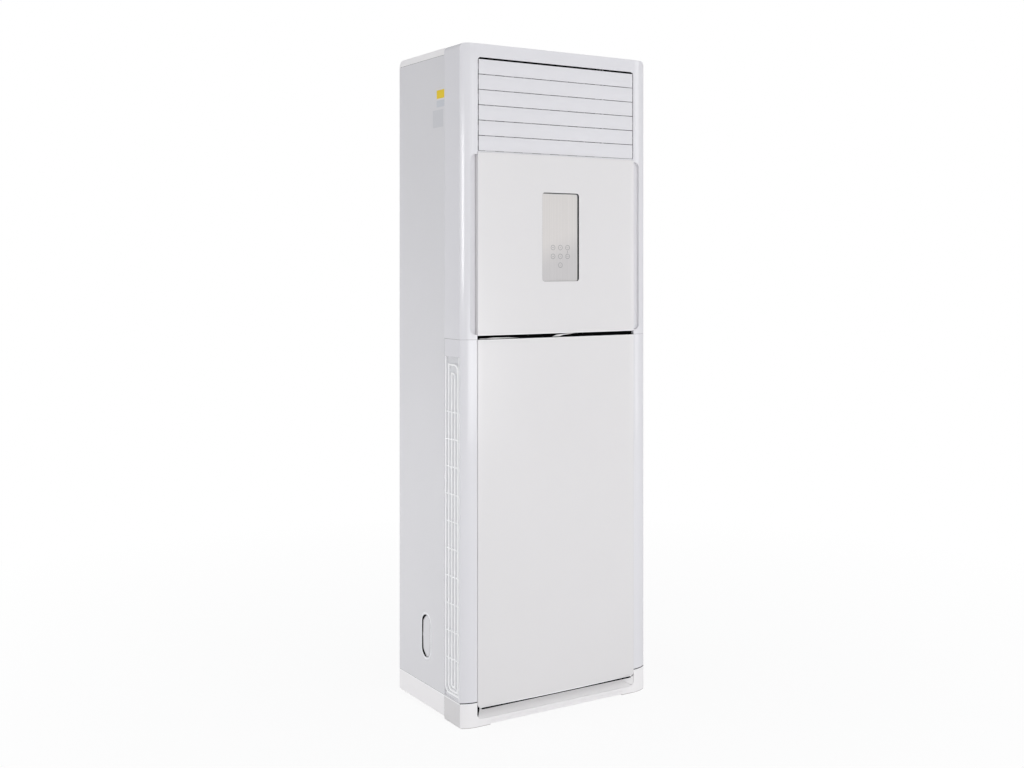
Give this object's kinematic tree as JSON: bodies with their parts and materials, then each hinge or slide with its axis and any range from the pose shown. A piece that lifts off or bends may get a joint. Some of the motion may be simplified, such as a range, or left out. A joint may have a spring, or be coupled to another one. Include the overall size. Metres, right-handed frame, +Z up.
{
  "type": "floor standing air conditioner",
  "caption": "Tall floor standing air conditioner indoor unit with a louvred outlet, a crowned two-part front, a touch display window, side intake grilles and a slim base.",
  "frame": {"origin": "on the floor, under the middle of the unit's bounding box", "axes": "+Z up, the front with the louvres faces -Y, +X to the right when looking at the back"},
  "size_m": [0.606, 0.368, 1.8],
  "materials": {
    "white_gloss_front": "glossy white ABS mouldings",
    "white_panel": "semi-gloss white panel, very slightly warm",
    "white_base": "satin off-white moulding",
    "painted_sheet": "powder-coated steel sheet, fine orange peel",
    "brushed_plate": "vertically brushed silver plate",
    "black_plastic": "black moulded ABS",
    "grey_plastic": "grey moulded polypropylene",
    "green_board": "solder-masked circuit board",
    "zinc_steel": "zinc-plated steel",
    "aluminium_fin": "stacked aluminium fins",
    "copper_pipe": "drawn copper tube",
    "filter_mesh": "woven nylon filter mesh in a moulded frame"
  },
  "bodies": {
    "root": {"lower_front_frame": "white_gloss_front", "upper_front_frame": "white_gloss_front", "middle_panel": "white_panel", "base_tray": "white_base", "front_skirt": "white_base", "top_cover": "white_base", "intake_grille_left": "white_base", "intake_grille_right": "white_base", "side_panel_left": "painted_sheet", "side_panel_right": "painted_sheet", "back_panel": "painted_sheet", "service_panel": "painted_sheet", "pipe_knockout_cover": "painted_sheet", "display_plate": "brushed_plate", "outlet_duct": "black_plastic", "drain_tray": "black_plastic", "split_trim": "black_plastic", "louver_motor": "grey_plastic", "vane_motor": "grey_plastic", "scroll_housing": "grey_plastic", "inlet_ring": "grey_plastic", "display_board": "green_board", "motor_bracket": "zinc_steel", "blower_deck": "zinc_steel", "fan_motor": "zinc_steel", "electric_box": "zinc_steel", "electric_box_cover": "zinc_steel", "evaporator_coil": "aluminium_fin", "gas_pipe": "copper_pipe", "liquid_pipe": "copper_pipe", "air_filter_left": "filter_mesh", "air_filter_right": "filter_mesh"},
    "louver_1": {"louver_1": "white_gloss_front"},
    "louver_2": {"louver_2": "white_gloss_front"},
    "louver_3": {"louver_3": "white_gloss_front"},
    "louver_4": {"louver_4": "white_gloss_front"},
    "louver_5": {"louver_5": "white_gloss_front"},
    "louver_6": {"louver_6": "white_gloss_front"},
    "louver_link": {"louver_link": "black_plastic"},
    "vane_1": {"vane_1": "black_plastic"},
    "vane_2": {"vane_2": "black_plastic"},
    "vane_3": {"vane_3": "black_plastic"},
    "vane_4": {"vane_4": "black_plastic"},
    "vane_5": {"vane_5": "black_plastic"},
    "vane_6": {"vane_6": "black_plastic"},
    "vane_7": {"vane_7": "black_plastic"},
    "vane_8": {"vane_8": "black_plastic"},
    "vane_link": {"vane_link": "black_plastic"},
    "lower_panel": {"lower_panel": "white_panel"},
    "blower_wheel": {"wheel_cage": "black_plastic", "wheel_hub": "black_plastic"}
  },
  "joints": [
    {"name": "louver_1_tilt", "type": "hinge", "parent": "root", "child": "louver_1", "pos_m": [0, -0.17, 1.7398], "axis": [-1, 0, 0], "range_deg": [0, 90]},
    {"name": "louver_2_tilt", "type": "hinge", "parent": "root", "child": "louver_2", "pos_m": [0, -0.17, 1.6994], "axis": [-1, 0, 0], "range_deg": [0, 90]},
    {"name": "louver_3_tilt", "type": "hinge", "parent": "root", "child": "louver_3", "pos_m": [0, -0.17, 1.659], "axis": [-1, 0, 0], "range_deg": [0, 90]},
    {"name": "louver_4_tilt", "type": "hinge", "parent": "root", "child": "louver_4", "pos_m": [0, -0.17, 1.6186], "axis": [-1, 0, 0], "range_deg": [0, 90]},
    {"name": "louver_5_tilt", "type": "hinge", "parent": "root", "child": "louver_5", "pos_m": [0, -0.17, 1.5782], "axis": [-1, 0, 0], "range_deg": [0, 90]},
    {"name": "louver_6_tilt", "type": "hinge", "parent": "root", "child": "louver_6", "pos_m": [0, -0.17, 1.5378], "axis": [-1, 0, 0], "range_deg": [0, 90]},
    {"name": "louver_link_pivot", "type": "hinge", "parent": "louver_1", "child": "louver_link", "pos_m": [0, -0.164, 1.7638], "axis": [-1, 0, 0], "range_deg": [-90, 0]},
    {"name": "vane_1_swing", "type": "hinge", "parent": "root", "child": "vane_1", "pos_m": [-0.21, -0.13, 1.64], "axis": [0, 0, 1], "range_deg": [-35, 35]},
    {"name": "vane_2_swing", "type": "hinge", "parent": "root", "child": "vane_2", "pos_m": [-0.15, -0.13, 1.64], "axis": [0, 0, 1], "range_deg": [-35, 35]},
    {"name": "vane_3_swing", "type": "hinge", "parent": "root", "child": "vane_3", "pos_m": [-0.09, -0.13, 1.64], "axis": [0, 0, 1], "range_deg": [-35, 35]},
    {"name": "vane_4_swing", "type": "hinge", "parent": "root", "child": "vane_4", "pos_m": [-0.03, -0.13, 1.64], "axis": [0, 0, 1], "range_deg": [-35, 35]},
    {"name": "vane_5_swing", "type": "hinge", "parent": "root", "child": "vane_5", "pos_m": [0.03, -0.13, 1.64], "axis": [0, 0, 1], "range_deg": [-35, 35]},
    {"name": "vane_6_swing", "type": "hinge", "parent": "root", "child": "vane_6", "pos_m": [0.09, -0.13, 1.64], "axis": [0, 0, 1], "range_deg": [-35, 35]},
    {"name": "vane_7_swing", "type": "hinge", "parent": "root", "child": "vane_7", "pos_m": [0.15, -0.13, 1.64], "axis": [0, 0, 1], "range_deg": [-35, 35]},
    {"name": "vane_8_swing", "type": "hinge", "parent": "root", "child": "vane_8", "pos_m": [0.21, -0.13, 1.64], "axis": [0, 0, 1], "range_deg": [-35, 35]},
    {"name": "vane_link_pivot", "type": "hinge", "parent": "vane_1", "child": "vane_link", "pos_m": [-0.21, -0.101, 1.517], "axis": [0, 0, 1], "range_deg": [-35, 35]},
    {"name": "blower_spin", "type": "hinge", "parent": "root", "child": "blower_wheel", "pos_m": [0, 0.013, 0.33], "axis": [0, 1, 0], "continuous": true},
    {"name": "lower_panel_tilt", "type": "hinge", "parent": "root", "child": "lower_panel", "pos_m": [0, -0.172, 0.06], "axis": [1, 0, 0], "range_deg": [0, 20]}
  ],
  "couplings": [
    {"joint": "louver_2_tilt", "follows": "louver_1_tilt", "ratio": 1},
    {"joint": "louver_3_tilt", "follows": "louver_1_tilt", "ratio": 1},
    {"joint": "louver_4_tilt", "follows": "louver_1_tilt", "ratio": 1},
    {"joint": "louver_5_tilt", "follows": "louver_1_tilt", "ratio": 1},
    {"joint": "louver_6_tilt", "follows": "louver_1_tilt", "ratio": 1},
    {"joint": "louver_link_pivot", "follows": "louver_1_tilt", "ratio": -1},
    {"joint": "vane_2_swing", "follows": "vane_1_swing", "ratio": 1},
    {"joint": "vane_3_swing", "follows": "vane_1_swing", "ratio": 1},
    {"joint": "vane_4_swing", "follows": "vane_1_swing", "ratio": 1},
    {"joint": "vane_5_swing", "follows": "vane_1_swing", "ratio": 1},
    {"joint": "vane_6_swing", "follows": "vane_1_swing", "ratio": 1},
    {"joint": "vane_7_swing", "follows": "vane_1_swing", "ratio": 1},
    {"joint": "vane_8_swing", "follows": "vane_1_swing", "ratio": 1},
    {"joint": "vane_link_pivot", "follows": "vane_1_swing", "ratio": -1}
  ]
}
